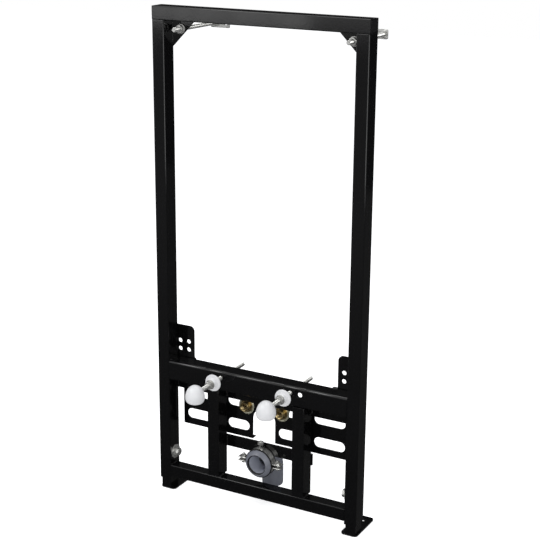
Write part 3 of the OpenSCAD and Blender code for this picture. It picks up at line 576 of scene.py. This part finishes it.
def punched_strip(bm, length, width, thickness, hole_r, hole_at, place):
    """A flat strip with rounded corners and one round hole, its middle at the local origin."""
    count = 64
    corner, ease, hole_ease = 3, 0.4, 0.2

    def edge(angle, shrink):
        """The strip's outline seen from the hole, in the given direction."""
        dx, dy = math.cos(angle), math.sin(angle)
        half_l, half_w = length / 2 - shrink, width / 2 - shrink
        far = min(
            ((half_l if dx > 0 else -half_l) - hole_at) / dx if abs(dx) > 1e-6 else math.inf,
            (half_w if dy > 0 else -half_w) / dy if abs(dy) > 1e-6 else math.inf,
        )
        x, y = hole_at + dx * far, dy * far
        cx, cy = math.copysign(half_l - corner, x), math.copysign(half_w - corner, y)
        if abs(x) > half_l - corner and abs(y) > half_w - corner:
            out = Vector((x - cx, y - cy)).normalized() * corner
            x, y = cx + out.x, cy + out.y
        return x, y

    def hole(angle, radius):
        """A point of the hole's edge in the given direction."""
        return hole_at + radius * math.cos(angle), radius * math.sin(angle)

    angles = [2 * math.pi * k / count for k in range(count)]
    for sx in (-1, 1):
        for sy in (-1, 1):
            for dx, dy in ((corner, 0), (0, corner), (corner * 0.3, corner * 0.3)):
                a = math.atan2(sy * (width / 2 - dy), sx * (length / 2 - dx) - hole_at)
                angles.append(a % (2 * math.pi))
    angles.sort()
    rings = []
    for a in angles:
        ring = [
            (*hole(a, hole_r), hole_ease), (*hole(a, hole_r + hole_ease), 0),
            (*edge(a, ease), 0), (*edge(a, 0), ease),
            (*edge(a, 0), thickness - ease), (*edge(a, ease), thickness),
            (*hole(a, hole_r + hole_ease), thickness), (*hole(a, hole_r), thickness - hole_ease),
        ]
        rings.append([bm.verts.new(place @ Vector([v * mm for v in p])) for p in ring])
    skin(bm, rings)


for side, word in ((-1, "left"), (1, "right")):
    strip = bmesh.new()
    place = facing_wall(side * strip_mid_x, wall_y - strip_t, rod_z)
    punched_strip(strip, strip_l, strip_h, strip_t, strip_hole_r, -side * strip_hole_in, place)
    finish_piece(word + "_wall_strip", strip, zinc, (word + "_wall_bracket",))


# Bowl studs
# Two M10 studs go through the beam's front, held by a nut behind it; the bowl hangs on their front
# ends, against the white discs. A nut and washer hold each disc from the front.
stud_x, stud_z, stud_front, stud_l = 90, 288, -114, 219
disc_front = -45
for side, word in ((-1, "left"), (1, "right")):
    stud = bmesh.new()
    threaded_rod(stud, 10, m10_pitch, stud_l, facing_wall(side * stud_x, stud_front, stud_z))
    finish_piece(word + "_threaded_stud", stud, zinc, (word + "_stud",))

    nuts = bmesh.new()
    washer_y = disc_front - m10_washer_t
    lathe(nuts, m10_washer, facing_wall(side * stud_x, washer_y, stud_z))
    front_nut = facing_wall(side * stud_x, washer_y - m10_nut_h, stud_z) @ turned(0.2 * side)
    hexagon(nuts, m10_flats, m10_nut_bore_r, m10_nut_h, front_nut)
    hexagon(nuts, m10_flats, m10_nut_bore_r, m10_nut_h, facing_wall(side * stud_x, beam_t, stud_z))
    finish_piece(word + "_bowl_stud_nuts", nuts, zinc, (word + "_stud_nuts",))


# White discs and caps
# Injection-moulded white polyethylene: a thin disc with a long boss in front on each stud, and an
# egg-shaped cap pushed over the stud's end until the bowl is fitted.
def moulded_white():
    """White polyethylene: milky, smooth, with a soft gloss and barely any grain."""
    material, tree, shader = new_material("white_polyethylene")
    shader.inputs["IOR"].default_value = 1.5
    shader.inputs["Subsurface Weight"].default_value = 0.08
    shader.inputs["Subsurface Radius"].default_value = (4 * mm, 4 * mm, 4 * mm)
    place = add_node(tree, "ShaderNodeTexCoord")
    cloud = add_node(tree, "ShaderNodeTexNoise", pattern(60.0, 2.0), Vector=(place, "Object"))
    tone = add_node(tree, "ShaderNodeValToRGB", {}, Fac=(cloud, 0))
    tone.color_ramp.elements[0].color = paint("#dededf")
    tone.color_ramp.elements[1].color = paint("#e5e5e6")
    gloss = add_node(tree, "ShaderNodeMapRange", {"To Min": 0.3, "To Max": 0.38}, Value=(cloud, 0))
    link_finish(tree, shader, tone, gloss)
    return material


white_plastic = moulded_white()

disc_outline = [
    (5.2, 0.4), (5.6, 0), (11.1, 0), (11.7, 0.3), (12.0, 1.0), (12.0, 9.2), (12.3, 9.8), (13.0, 10),
    (18.3, 10), (19.1, 10.3), (19.5, 11.0), (19.5, 13.0), (19.2, 13.7), (18.5, 14), (5.6, 14), (5.2, 13.6),
]
cap_y, cap_half_w, cap_flat_r, cap_h, cap_wide_down = -110, 22.0, 12.0, 42.0, 7.5
crown_h = cap_h / 2 + cap_wide_down
base_h = cap_h - crown_h
cap_outline = [(0, -base_h)]
for k in range(16, 0, -1):
    a = math.radians(90 * k / 16)
    cap_outline.append((cap_flat_r + (cap_half_w - cap_flat_r) * math.cos(a), -base_h * math.sin(a)))
for k in range(29):
    a = math.radians(90 * k / 28)
    cap_outline.append((cap_half_w * math.cos(a) if k < 28 else 0, crown_h * math.sin(a)))
collar_y = -92.5
collar_outline = [(5.1, 0), (7.4, 0), (7.4, 4.6), (6.9, 5.2), (5.6, 5.2), (5.1, 4.8)]
for side, word in ((-1, "left"), (1, "right")):
    disc = bmesh.new()
    lathe(disc, disc_outline, facing_wall(side * stud_x, disc_front, stud_z), 96)
    finish_piece(word + "_white_disc", disc, white_plastic, (word + "_stud_disc",))

    cap = bmesh.new()
    lathe(cap, cap_outline, Matrix.Translation(at(side * stud_x, cap_y, stud_z - cap_wide_down)), 96)
    lathe(cap, collar_outline, facing_wall(side * stud_x, collar_y, stud_z), 48)
    finish_piece(word + "_egg_cap", cap, white_plastic, (word + "_stud_cap",))


# Tap elbows
# Hot-pressed brass elbows, turned and threaded in front, with a hose stub pointing up behind the
# slotted plate. A flange with a pale nickel-plated rim holds each in its slot.
def machined_brass():
    """Pressed and turned brass: warm yellow, dulled and browned a little in patches 4 mm across."""
    material, tree, shader = new_material("machined_brass")
    shader.inputs["Metallic"].default_value = 1.0
    place = add_node(tree, "ShaderNodeTexCoord")
    cloud = add_node(tree, "ShaderNodeTexNoise", pattern(240.0, 4.0, 0.6), Vector=(place, "Object"))
    tone = add_node(tree, "ShaderNodeValToRGB", {}, Fac=(cloud, 0))
    tone.color_ramp.elements[0].position = 0.3
    tone.color_ramp.elements[0].color = paint("#84704a")
    tone.color_ramp.elements[1].position = 0.7
    tone.color_ramp.elements[1].color = paint("#cdbb8e")
    gloss = add_node(tree, "ShaderNodeMapRange", {"To Min": 0.26, "To Max": 0.42}, Value=(cloud, 0))
    bump = add_node(tree, "ShaderNodeBump", {"Strength": 0.2, "Distance": 0.1 * mm}, Height=(cloud, 0))
    link_finish(tree, shader, tone, gloss, bump)
    return material


brass = machined_brass()
nickel = zinc_plate("pale_nickel_on_brass", "#e4e2cf", "#c6c3a8", 0.2, 0.3)
elbow_x, elbow_z, hub_front, stub_y = 46, 213.25, 30.5, 58.0
thread_pitch, thread_root_r, thread_crest_r = 1.2, 8.25, 7.7
thread_rings = []
for turn in range(8):
    top = 1.0 + thread_pitch * turn
    thread_rings += [(thread_crest_r, top), (thread_root_r, top + thread_pitch / 2)]
hub_outline = [(3.0, 11.2), (7.7, 10.9)] + list(reversed(thread_rings)) + [
    (8.6, 0.3), (8.9, 0), (10.9, 0), (11.5, 0.6), (11.5, 11.5), (11.0, 12.0), (4.5, 12.0), (4.5, 16.5),
    (10.4, 16.5), (11.0, 17.1), (11.0, 33.0), (10.2, 35.6), (8.0, 37.6), (4.5, 38.4), (0, 38.5),
    (0, 29.0), (3.0, 27.0),
]
barb_pitch = 6.4
stub_outline = [(3.0, 5), (8.0, 5), (8.0, 14)]
for barb in range(5):
    low = 15.0 + barb_pitch * barb
    stub_outline += [(7.2, low), (8.0, low + 0.5), (8.0, low + 1.6), (7.2, low + 5.6)]
stub_outline += [(7.2, 49.2), (6.6, 50.0), (3.6, 50.0), (3.0, 49.6)]
flange_bore_r, rim_in_r, rim_out_r, flange_t = 4.6, 15.8, 20, 2
flange_outline = [(flange_bore_r, 0), (rim_in_r, 0), (rim_in_r, flange_t), (flange_bore_r, flange_t)]
rim_outline = [
    (rim_in_r, 0.2), (rim_in_r + 0.4, 0), (rim_out_r - 0.8, 0),
    (rim_out_r, 0.8), (rim_out_r, flange_t), (rim_in_r, flange_t),
]
for side, word in ((-1, "left"), (1, "right")):
    elbow = bmesh.new()
    lathe(elbow, hub_outline, facing_wall(side * elbow_x, hub_front, elbow_z))
    lathe(elbow, stub_outline, Matrix.Translation(at(side * elbow_x, stub_y, elbow_z)), 48)
    finish_piece(word + "_brass_elbow", elbow, brass, (word + "_tap_elbow",))

    flange_place = facing_wall(side * elbow_x, beam_back, elbow_z)
    inner = bmesh.new()
    lathe(inner, flange_outline, flange_place)
    finish_piece(word + "_brass_flange", inner, brass, ("tap_flanges",) if side < 0 else ())
    rim = bmesh.new()
    lathe(rim, rim_outline, flange_place, 96)
    finish_piece(word + "_flange_rim", rim, nickel, ())


# Waste bend
# Injection-moulded grey polypropylene: a socket whose mouth widens in a cone to a thin rim, a short
# straight run and a quarter bend down to a plain spigot. A black lip seal sits inside the mouth.
socket_up, down_y, bend_r, pipe_low = 87.0, 89.0, 34.0, 10.0
pipe_r, bore_r = 25.0, 23.0
straight_end = down_y - bend_r
bend_run = bend_r * math.pi / 2
pipe_end = straight_end + bend_run + (socket_up - bend_r - pipe_low)


def moulded_grey():
    """Grey polypropylene: blue-grey, satin, with a fine moulded grain of about 0.6 mm, and painted light in
    the bore.
    """
    material, tree, shader = new_material("grey_polypropylene")
    shader.inputs["IOR"].default_value = 1.49
    place = add_node(tree, "ShaderNodeTexCoord")
    cloud = add_node(tree, "ShaderNodeTexNoise", pattern(45.0, 3.0), Vector=(place, "Object"))
    tone = add_node(tree, "ShaderNodeValToRGB", {}, Fac=(cloud, 0))
    tone.color_ramp.elements[0].color = paint("#70727b")
    tone.color_ramp.elements[1].color = paint("#7d8089")
    # Painted light: the bore about the socket's middle, as far as the bend's back wall, is painted paler
    # than the outside, for the light that falls into it
    to_middle = {"Location": (0, 0, -floor_gap - socket_up * mm), "Scale": (1, 0, 1)}
    across = add_node(tree, "ShaderNodeMapping", to_middle, Vector=(place, "Object"))
    radius = add_node(tree, "ShaderNodeVectorMath", {"operation": "LENGTH"}, i0=(across, 0))
    painted_light_radius = {"operation": "LESS_THAN", 1: (bore_r + 0.3) * mm}
    in_painted_light_bore = add_node(tree, "ShaderNodeMath", painted_light_radius, i0=(radius, "Value"))
    axes = add_node(tree, "ShaderNodeSeparateXYZ", {}, Vector=(place, "Object"))
    before_back = {"operation": "LESS_THAN", 1: 56 * mm}
    front = add_node(tree, "ShaderNodeMath", before_back, i0=(axes, "Y"))
    bore = add_node(tree, "ShaderNodeMath", {"operation": "MULTIPLY"}, i0=(in_painted_light_bore, 0), i1=(front, 0))
    # Painted light: the bore's tone is mixed to a paler grey
    pale = add_node(tree, "ShaderNodeMixRGB", {2: paint("#b6b9c4")}, i0=(bore, 0), i1=(tone, 0))
    grain = add_node(tree, "ShaderNodeTexNoise", pattern(1600.0, 1.0), Vector=(place, "Object"))
    gloss = add_node(tree, "ShaderNodeMapRange", {"To Min": 0.34, "To Max": 0.46}, Value=(grain, 0))
    bump = add_node(tree, "ShaderNodeBump", {"Strength": 0.1, "Distance": 0.1 * mm}, Height=(grain, 0))
    link_finish(tree, shader, pale, gloss, bump)
    return material


grey_plastic = moulded_grey()


def pipe_station(along):
    """Centre and upward direction of the pipe's section at a length from the posts' front, in mm."""
    if along <= straight_end:
        return (along, socket_up), (0.0, 1.0)
    if along <= straight_end + bend_run:
        a = (along - straight_end) / bend_r
        centre = (straight_end + bend_r * math.sin(a), socket_up - bend_r + bend_r * math.cos(a))
        return centre, (math.sin(a), math.cos(a))
    return (down_y, socket_up - bend_r - (along - straight_end - bend_run)), (1.0, 0.0)


bend_lengths = [straight_end + bend_run * k / 24 for k in range(25)]
pipe_outside = [
    (24.4, 8.0), (24.8, 8.0), (25.2, 8.3), (32.5, 16.6), (33.0, 17.3), (33.0, 18.6), (32.6, 19.0),
    (29.3, 19.0), (29.0, 19.3), (29.0, 39.1), (28.6, 39.5), (25.3, 39.5), (pipe_r, 39.8),
]
pipe_outside += [(pipe_r, s) for s in bend_lengths] + [(pipe_r, pipe_end - 3.0), (24.2, pipe_end)]
pipe_inside = [(23.2, pipe_end), (bore_r, pipe_end - 0.4)] + [(bore_r, s) for s in reversed(bend_lengths)]
pipe_inside += [(bore_r, 15.1), (24.95, 15.1), (24.95, 9.9), (24.2, 9.9), (24.2, 8.2)]
bend = bmesh.new()
around = 96
rings = []
for r, s in pipe_outside + pipe_inside:
    (cy, cz), (uy, uz) = pipe_station(s)
    rings.append([
        bend.verts.new(at(r * math.sin(a), cy + r * math.cos(a) * uy, cz + r * math.cos(a) * uz))
        for a in (2 * math.pi * k / around for k in range(around))
    ])
skin(bend, rings)
finish_piece("grey_waste_bend", bend, grey_plastic, ("waste_bend",))


def moulded_rubber():
    """Black sealing rubber: matt, with a faint bloom in patches 8 mm across."""
    material, tree, shader = new_material("black_rubber")
    shader.inputs["IOR"].default_value = 1.52
    place = add_node(tree, "ShaderNodeTexCoord")
    bloom = add_node(tree, "ShaderNodeTexNoise", pattern(120.0, 4.0), Vector=(place, "Object"))
    tone = add_node(tree, "ShaderNodeValToRGB", {}, Fac=(bloom, 0))
    tone.color_ramp.elements[0].color = paint("#0a0a0b")
    tone.color_ramp.elements[1].color = paint("#111112")
    gloss = add_node(tree, "ShaderNodeMapRange", {"To Min": 0.45, "To Max": 0.6}, Value=(bloom, 0))
    bump = add_node(tree, "ShaderNodeBump", {"Strength": 0.2, "Distance": 0.1 * mm}, Height=(bloom, 0))
    link_finish(tree, shader, tone, gloss, bump)
    return material


rubber = moulded_rubber()
seal_y = 10
seal_outline = [
    (24.8, 0.4), (24.4, 0), (24.1, -0.1), (24.1, -1.1), (23.8, -1.4), (22.8, -1.3), (22.1, -0.6),
    (22.0, 1.8), (22.2, 2.2), (22.9, 1.9), (23.0, 2.4), (22.3, 3.2), (22.0, 3.9), (22.1, 4.5),
    (22.8, 5), (24.4, 5), (24.8, 4.6),
]
seal = bmesh.new()
lathe(seal, seal_outline, facing_wall(0, seal_y, socket_up), 96)
finish_piece("socket_lip_seal", seal, rubber, ("waste_seal",))


# Pipe clamp
# Two half bands of zinc-plated strip with bent ears, a rubber lining that grips their edges, a screw
# through each pair of ears, and an upright stud from a boss to the slotted lug of the crossbar.
band_front, band_back, band_mid_y = 21.0, 38.0, 29.5
band_t, band_mid_r = 1.8, 32.95
ear_mid_z, ear_end_x, ear_bend_z = 4.25, 55.7, 7.2
lining_front = 19.5
m6_flats, m6_pitch, m6_nut_h, m6_nut_bore_r = 10, 1.0, 4.4, 3.05
m8_flats, m8_pitch, m8_nut_h, m8_nut_bore_r = 13, 1.25, 6.5, 4.05
screw_x, screw_l, screw_low, screw_nut_up = 44.7, 23.0, -9.9, 5.5
boss_up, boss_h = 33.2, 5.5
hanger_up, hanger_l = 38.6, 14.4
crossbar_top = 131.5


def strip_along(bm, path, thickness, y_from, y_to):
    """A strip bent along a path of (x, z) points in millimetres, its width along Y."""
    left, right = [], []
    for i, (x, z) in enumerate(path):
        before = Vector(path[max(0, i - 1)])
        after = Vector(path[min(len(path) - 1, i + 1)])
        way = (after - before).normalized()
        out = Vector((-way.y, way.x)) * thickness / 2
        left.append((x + out.x, z + out.y))
        right.append((x - out.x, z - out.y))
    loop = left + right[::-1]
    middle = path + path[::-1]
    ease = 0.35
    rings = []
    for y, shrink in ((y_from, ease), (y_from + ease, 0), (y_to - ease, 0), (y_to, ease)):
        ring = []
        for (x, z), (mx, mz) in zip(loop, middle):
            inward = Vector((mx - x, mz - z)).normalized() * shrink
            ring.append(bm.verts.new(at(x + inward.x, y, z + inward.y)))
        rings.append(ring)
    skin(bm, rings, closed=False)
    count = len(loop)
    for ring in (rings[0], rings[-1]):
        for k in range(count // 2 - 1):
            bm.faces.new((ring[k], ring[k + 1], ring[count - 2 - k], ring[count - 1 - k]))


def upright(x, y, z):
    """The place of a piece whose local Z axis points up."""
    return Matrix.Translation(at(x, y, z))


for flip, word in ((1, "upper"), (-1, "lower")):
    ear = [(ear_end_x, 0), (ear_end_x - 1.0, 0), (37.0, 0), (35.4, 0.3), (33.9, 1.3)]
    path = [(x, ear_mid_z + up) for x, up in ear]
    start = math.asin(ear_bend_z / band_mid_r)
    path += [
        (band_mid_r * math.cos(a), band_mid_r * math.sin(a))
        for a in (start + (math.pi - 2 * start) * k / 40 for k in range(41))
    ]
    path += [(-x, z) for x, z in path[4::-1]]
    band = bmesh.new()
    strip_along(band, [(x, socket_up + flip * z) for x, z in path], band_t, band_front, band_back)
    if word == "upper":
        hexagon(band, m8_flats, 0, boss_h, upright(0, band_mid_y, socket_up + boss_up))
    finish_piece(f"clamp_{word}_half", band, zinc, (f"clamp_{word}_band",))

ribs = []
for rib in range(6):
    low = 0.4 + 3.25 * rib
    ribs += [(29.1, low), (29.1, low + 1.6), (29.9, low + 2.0), (29.9, low + 2.9)]
lining_outline = [
    (29.9, 20.0), (34.8, 20.0), (35.2, 19.7), (35.2, 18.9), (34.8, 18.6), (32.0, 18.6),
    (32.0, 1.4), (34.8, 1.4), (35.2, 1.1), (35.2, 0.3), (34.8, 0.0), (29.9, 0.0),
]
lining = bmesh.new()
lathe(lining, lining_outline + ribs, facing_wall(0, lining_front, socket_up), 96)
finish_piece("clamp_rubber_lining", lining, rubber, ("clamp_lining",))

screws = bmesh.new()
for side in (-1, 1):
    foot = upright(side * screw_x, band_mid_y, socket_up + screw_low)
    threaded_rod(screws, 6, m6_pitch, screw_l, foot, 16)
    nut_place = upright(side * screw_x, band_mid_y, socket_up + screw_nut_up)
    hexagon(screws, m6_flats, m6_nut_bore_r, m6_nut_h, nut_place)
    hexagon(screws, m6_flats, 0, m6_nut_h, foot @ turned(0.4))
finish_piece("clamp_ear_screws", screws, zinc, ("clamp_screws",))

hanger = bmesh.new()
threaded_rod(hanger, 8, m8_pitch, hanger_l, upright(0, band_mid_y, socket_up + hanger_up), 16)
nut_place = upright(0, band_mid_y, crossbar_top) @ turned(0.3)
hexagon(hanger, m8_flats, m8_nut_bore_r, m8_nut_h, nut_place)
finish_piece("clamp_hanger", hanger, zinc, ("clamp_hanger_bolt",))
